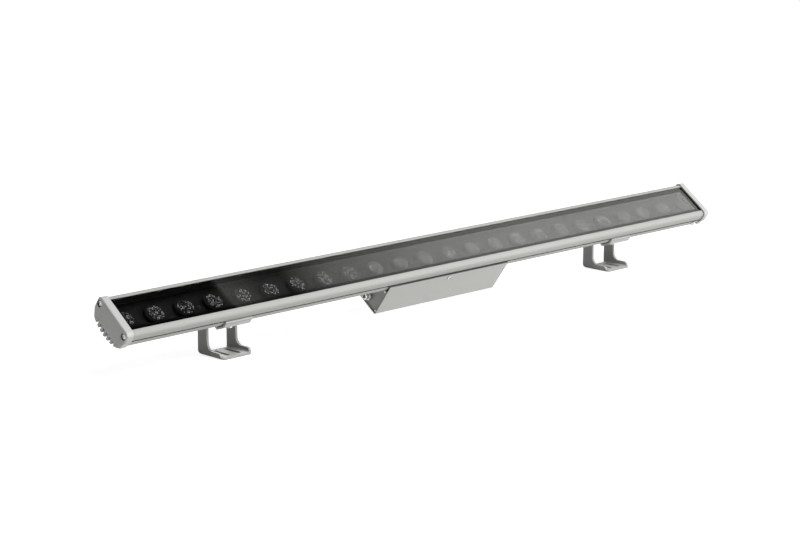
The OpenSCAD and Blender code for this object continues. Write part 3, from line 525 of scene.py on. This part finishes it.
low_out, low_in, top_out, top_in = rings
for i in range(4):
    j = (i + 1) % 4
    for face in ((top_out[i], top_out[j], top_in[j], top_in[i]), (low_in[i], low_in[j], low_out[j], low_out[i]),
                 (low_out[i], low_out[j], top_out[j], top_out[i]), (top_in[i], top_in[j], low_in[j], low_in[i])):
        border.faces.new(face)
mesh = bpy.data.meshes.new("glass_border")
border.to_mesh(mesh)
border.free()
mesh.materials.append(printed)
piece = placed("glass_border", mesh)
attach(piece, "lamp")


# End caps: die-cast aluminium, toothed like the fins and powder coated in silver grey.
# Two screws hold each cap, with its gasket, in the screw ports of the profile.
def speckle_group():
    tree, make, link, given, out = new_tree(
        "powder_speckle", "ShaderNodeTree", [("Fineness", number, 1500.0)], [("Height", number), ("Tone", number)])
    place, grains, flakes = make("ShaderNodeTexCoord"), make("ShaderNodeTexNoise"), make("ShaderNodeTexVoronoi")
    for texture, output, target in ((grains, "Fac", "Height"), (flakes, "Distance", "Tone")):
        link(place.outputs["Object"], texture.inputs["Vector"])
        link(given.outputs["Fineness"], texture.inputs["Scale"])
        link(texture.outputs[output], out.inputs[target])
    grain_detail = 2
    grains.inputs["Detail"].default_value = grain_detail
    return tree


speckle = speckle_group()


def powdered(made):
    grained(made, speckle, fineness=1500, tone=0.08, strength=0.3, depth=0.00004)


# The casting's colour is darkened in the notches between the teeth and next to other parts, as painted shade.
cast = finish("silver coated casting", (0.63, 0.63, 0.62), 0.5, 0.1, edge_colour=(0.7, 0.7, 0.68), wear=0.2,
              painted_shade=0.8)
powdered(cast)
for name in ("end_cap_left", "end_cap_right"):
    rounded_copy(name, width=0.0005, material=cast, segments=3)


# Driver box: silver coated aluminium sheet, folded into a channel whose edges hook into the side grooves.
# Two flat plates close its ends. The hooked edge is coloured dark grey, painted shade for the shade of the rails.
# The sheet's colour is darkened next to the screw heads and in the folds, as painted shade.
coated = finish("silver coated sheet", (0.52, 0.52, 0.5), 0.5, 0.03, edge_colour=(0.7, 0.7, 0.68), wear=0.2,
                painted_shade=0.8)
powdered(coated)
fold_rounding = 0.0002
box = rounded_copy("driver_box", fold_rounding, coated)
for name in ("box_end_left", "box_end_right"):
    rounded_copy(name, fold_rounding, coated)
# Painted shade: the faces of the hooked edge are coloured dark grey.
hook_painted_shade = finish("hook painted shade", (0.1, 0.1, 0.097), 0.8, 0, wear=0, cloud=0.1, shine=0.1)
box.data.materials.append(hook_painted_shade)
hook_line = -0.0139
for face in box.data.polygons:
    if (to_lamp @ face.center).z > hook_line:
        face.material_index = 1


# End plate screws: small zinc-plated cross heads, one near each corner of the box's two end plates.
# Only the heads show, so each is a head alone, with its cross cut into it.
zinc = finish("bright zinc", (0.85, 0.85, 0.84), 0.3, 0.9, wear=0, cloud=0.1, painted_shade=0.2)
tree, given, add, maths, stood, close = row_tree("small_screws", [
    ("Head Radius", number, 0.0015), ("Head Height", number, 0.0009), ("Slot Width", number, 0.0005)])
head_sides, top_share, slot_share = 20, 0.75, 1.5
top_r = maths("MULTIPLY", given.outputs["Head Radius"], top_share)
head = add("GeometryNodeMeshCone", Vertices=head_sides, Radius_Top=top_r,
           Radius_Bottom=given.outputs["Head Radius"], Depth=given.outputs["Head Height"])
slot_l = maths("MULTIPLY", top_r, slot_share)
slot_w, slot_h = given.outputs["Slot Width"], given.outputs["Head Height"]
slot_up = add("ShaderNodeCombineXYZ", Z=slot_h)
slots = []
for length, width in ((slot_l, slot_w), (slot_w, slot_l)):
    size = add("ShaderNodeCombineXYZ", X=length, Y=width, Z=slot_h)
    cut = add("GeometryNodeMeshCube", Size=size.outputs[0])
    slots.append(add("GeometryNodeTransform", Geometry=cut.outputs["Mesh"],
                     Translation=slot_up.outputs[0]).outputs[0])
headed = add("GeometryNodeMeshBoolean", [("operation", "DIFFERENCE"), ("solver", "EXACT")],
             Mesh_1=head.outputs["Mesh"], Mesh_2=slots)
close(stood(headed.outputs[0]))
plate_left = min(corner.co.x for corner in cad["box_end_left"].data.vertices)
plate_right = max(corner.co.x for corner in cad["box_end_right"].data.vertices)
sunk = 0.00005
low_corner, high_corner = (0.0281, -0.0572), (0.0265, -0.0262)
corner_places = [(side * aside, down) for side in (-1, 1) for aside, down in (low_corner, high_corner)]
spots = [(in_lamp @ Vector((x + sunk * -out, aside, down)), Vector((out, 0, 0)))
         for x, out in ((plate_left, -1), (plate_right, 1)) for aside, down in corner_places]
grown("end_plate_screws", tree, spots, "lamp", [], "steel", Material=zinc)


# Driver: a potted supply in a dark case, screwed to the inside of the box.
# Its lead, in a black sleeve, rises through the grommet in the profile's floor to the boards.
potted = finish("dark driver case", (0.03, 0.03, 0.032), 0.5, 0.2, wear=0.2, cloud=0.2)
dress(potted, "driver_unit")
sleeve = finish("black lead sleeve", (0.015, 0.015, 0.015), 0.45, 0, wear=0)
dress(sleeve, "driver_lead")


# Gland: nickel-plated brass, a body screwed through the left end plate with a lock nut behind it.
# Its dome nut presses on the gland's seal. The inner faces of its mouth are coloured pale, painted light where the
# bore would lie in shade.
nickel = finish("nickel plate", (0.74, 0.73, 0.7), 0.3, 0.9, wear=0, cloud=0.1, painted_shade=0.3)
dress(nickel, "gland_body", "gland_nut", "gland_locknut")
# Painted light: the mouth's inner faces are coloured pale instead of dark.
mouth_painted_light = finish("gland mouth painted light", (0.8, 0.8, 0.78), 0.8, 0, wear=0, shine=0.2, painted_shade=0)
nut_points = [to_lamp @ corner.co for corner in cad["gland_nut"].data.vertices]
gland_y = (min(corner.y for corner in nut_points) + max(corner.y for corner in nut_points)) / 2
gland_z = (min(corner.z for corner in nut_points) + max(corner.z for corner in nut_points)) / 2
mouth_r = 0.0032
for name in ("gland_body", "gland_nut"):
    cad[name].data.materials.append(mouth_painted_light)
    for face in cad[name].data.polygons:
        inside = to_lamp @ face.center
        if math.hypot(inside.y - gland_y, inside.z - gland_z) < mouth_r:
            face.material_index = 1


# Clips: short lengths of coated aluminium extrusion, hooked into both grooves.
# A clamp screw at the front holds each where it stands along the lamp.
clipped = finish("silver coated clip", (0.57, 0.57, 0.55), 0.5, 0.1, edge_colour=(0.7, 0.7, 0.68), wear=0.25)
powdered(clipped)
for name in ("clip_left", "clip_right"):
    rounded_copy(name, width=0.0002, material=clipped)


# Brackets: 3 mm steel plate, cut out and bent to a U, then silver coated.
# Each is bolted to its clip's two ears, and two slots in its foot take the fixing screws.
# The coat's colour is darkened far into the U, on the inner faces of the cheeks, as painted shade.
plate = finish("silver coated plate", (0.66, 0.66, 0.64), 0.5, 0, edge_colour=(0.65, 0.65, 0.63), wear=0.25,
               painted_shade=0.75, reach=0.045, shine=0.2)
powdered(plate)
for name in ("bracket_left", "bracket_right"):
    rounded_copy(name, width=0.0003, material=plate)


# Studio: a pale floor and a white surround, with soft light from the front, from above and from behind.
# The floor and the surround look white wherever they are seen, but give the lamp little light.
def seen_directly(make, link):
    rays, first, any_ray = make("ShaderNodeLightPath"), make("ShaderNodeMath"), make("ShaderNodeMath")
    for node in (first, any_ray):
        node.operation = "MAXIMUM"
    link(rays.outputs["Is Camera Ray"], first.inputs[0])
    link(rays.outputs["Is Glossy Ray"], first.inputs[1])
    link(first.outputs[0], any_ray.inputs[0])
    link(rays.outputs["Is Transmission Ray"], any_ray.inputs[1])
    return any_ray.outputs[0]


surround = bpy.data.worlds.new("white surround")
bpy.context.scene.world = surround
surround.use_nodes = True
make, link = surround.node_tree.nodes.new, surround.node_tree.links.new
plain, seen = surround.node_tree.nodes["Background"], make("ShaderNodeBackground")
either = make("ShaderNodeMixShader")
light_given, whiteness = 0.08, 1
for shade, strength in ((plain, light_given), (seen, whiteness)):
    shade.inputs["Color"].default_value = (1, 1, 1, 1)
    shade.inputs["Strength"].default_value = strength
link(seen_directly(make, link), either.inputs[0])
link(plain.outputs[0], either.inputs[1])
link(seen.outputs[0], either.inputs[2])
link(either.outputs[0], surround.node_tree.nodes["World Output"].inputs["Surface"])


def flat_sheet(name, x_low, x_high, y_half, z, material):
    mesh = bpy.data.meshes.new(name)
    mesh.from_pydata([(x_low, -y_half, z), (x_high, -y_half, z), (x_high, y_half, z), (x_low, y_half, z)], [],
                     [(0, 1, 2, 3)])
    mesh.materials.append(material)
    sheet = placed(name, mesh)
    return sheet


pale = bpy.data.materials.new("pale floor")
pale.use_nodes = True
make, link = pale.node_tree.nodes.new, pale.node_tree.links.new
shader = pale.node_tree.nodes["Principled BSDF"]
shader.inputs["Base Color"].default_value = (0.65, 0.65, 0.65, 1)
shader.inputs["Roughness"].default_value = 1
shader.inputs["Specular IOR Level"].default_value = 0
shader.inputs["Emission Color"].default_value = (1, 1, 1, 1)
place, away, fade = make("ShaderNodeTexCoord"), make("ShaderNodeVectorMath"), make("ShaderNodeMapRange")
gain = make("ShaderNodeMath")
away.operation = "LENGTH"
gain.operation = "MULTIPLY"
for label, value in (("From Min", 0.7), ("From Max", 2.5), ("To Min", 0.82), ("To Max", 0.97)):
    fade.inputs[label].default_value = value
link(place.outputs["Object"], away.inputs[0])
link(away.outputs["Value"], fade.inputs["Value"])
link(seen_directly(make, link), gain.inputs[0])
link(fade.outputs["Result"], gain.inputs[1])
link(gain.outputs[0], shader.inputs["Emission Strength"])
floor_half = 12
flat_sheet("floor", -floor_half, floor_half, floor_half, 0, pale)


def soft_light(name, place, width, height, power):
    aim = (0, 0, 0.05)
    lamp = bpy.data.lights.new(name, "AREA")
    lamp.shape = "RECTANGLE"
    lamp.size, lamp.size_y, lamp.energy = width, height, power
    stand = placed(name, lamp)
    stand.location = place
    stand.rotation_euler = (Vector(aim) - Vector(place)).to_track_quat("-Z", "Y").to_euler()


soft_light("front_light", place=(0.6, -2.2, 0.36), width=2.4, height=0.7, power=32)
soft_light("top_light", place=(0.1, -1.3, 2.0), width=1.6, height=1.2, power=31)
soft_light("back_light", place=(1.3, 2.2, 1.1), width=1.4, height=1.2, power=26)

# A graded card hangs high over the lamp's right, where only the glass and other gloss see it.
# In the pane it grades from dark at the left to pale at the right.
card = bpy.data.materials.new("graded card")
card.use_nodes = True
make, link = card.node_tree.nodes.new, card.node_tree.links.new
card.node_tree.nodes.remove(card.node_tree.nodes["Principled BSDF"])
glow, place, split = make("ShaderNodeEmission"), make("ShaderNodeTexCoord"), make("ShaderNodeSeparateXYZ")
slant, spread, ramp = make("ShaderNodeMath"), make("ShaderNodeMapRange"), make("ShaderNodeValToRGB")
card_height, card_from, card_to, card_half, card_slant = 2.4, 0.7, 3.9, 1.2, 0.76
spread.inputs["From Min"].default_value = card_from
spread.inputs["From Max"].default_value = card_to
slant.operation = "MULTIPLY_ADD"
slant.inputs[1].default_value = card_slant
link(place.outputs["Object"], split.inputs[0])
link(split.outputs["Y"], slant.inputs[0])
link(split.outputs["X"], slant.inputs[2])
link(slant.outputs[0], spread.inputs["Value"])
link(spread.outputs["Result"], ramp.inputs[0])
link(ramp.outputs[0], glow.inputs["Color"])
link(glow.outputs[0], card.node_tree.nodes["Material Output"].inputs["Surface"])
glow.inputs["Strength"].default_value = 2.0
warmth = 0.97
stops = ramp.color_ramp.elements
for along, level in ((0.2455, 0.0), (0.25, 0.19), (0.29, 0.05), (0.31, 0.03), (0.362, 0.38), (0.475, 0.68),
                     (0.504, 0.73), (0.588, 0.81), (0.7, 0.77), (0.787, 0.81)):
    stop = stops.new(along)
    stop.color = (level, level, warmth * level, 1)
stops[0].color = (0, 0, 0, 1)
stops[len(stops) - 1].color = (0.82, 0.82, 0.8, 1)
card_sheet = flat_sheet("graded_card", card_from, card_to, card_half, card_height, card)
card_sheet.visible_camera = False
card_sheet.visible_diffuse = False
card_sheet.visible_shadow = False

# The camera has the place, the turn and the lens that were fitted to the lamp's outline.
camera = bpy.data.cameras.new("camera")
camera.lens, camera.sensor_width, camera.shift_y = 100.212, 36, 0.00038
stand = placed("camera", camera)
eye = Vector((-1.9010880, -1.9129021, 0.6336307))
yaw, dip, roll = 0.7685429181, 0.2135683025, 0.0022879373
ahead = Vector((math.sin(yaw) * math.cos(dip), math.cos(yaw) * math.cos(dip), -math.sin(dip)))
right = Vector((math.cos(yaw), -math.sin(yaw), 0))
up = right.cross(ahead)
right, up = (math.cos(roll) * right - math.sin(roll) * up, math.sin(roll) * right + math.cos(roll) * up)
turn = Matrix((right, up, -ahead)).transposed().to_4x4()
stand.matrix_world = Matrix.Translation(eye) @ turn
bpy.context.scene.camera = stand
bpy.context.scene.view_settings.view_transform = "Standard"
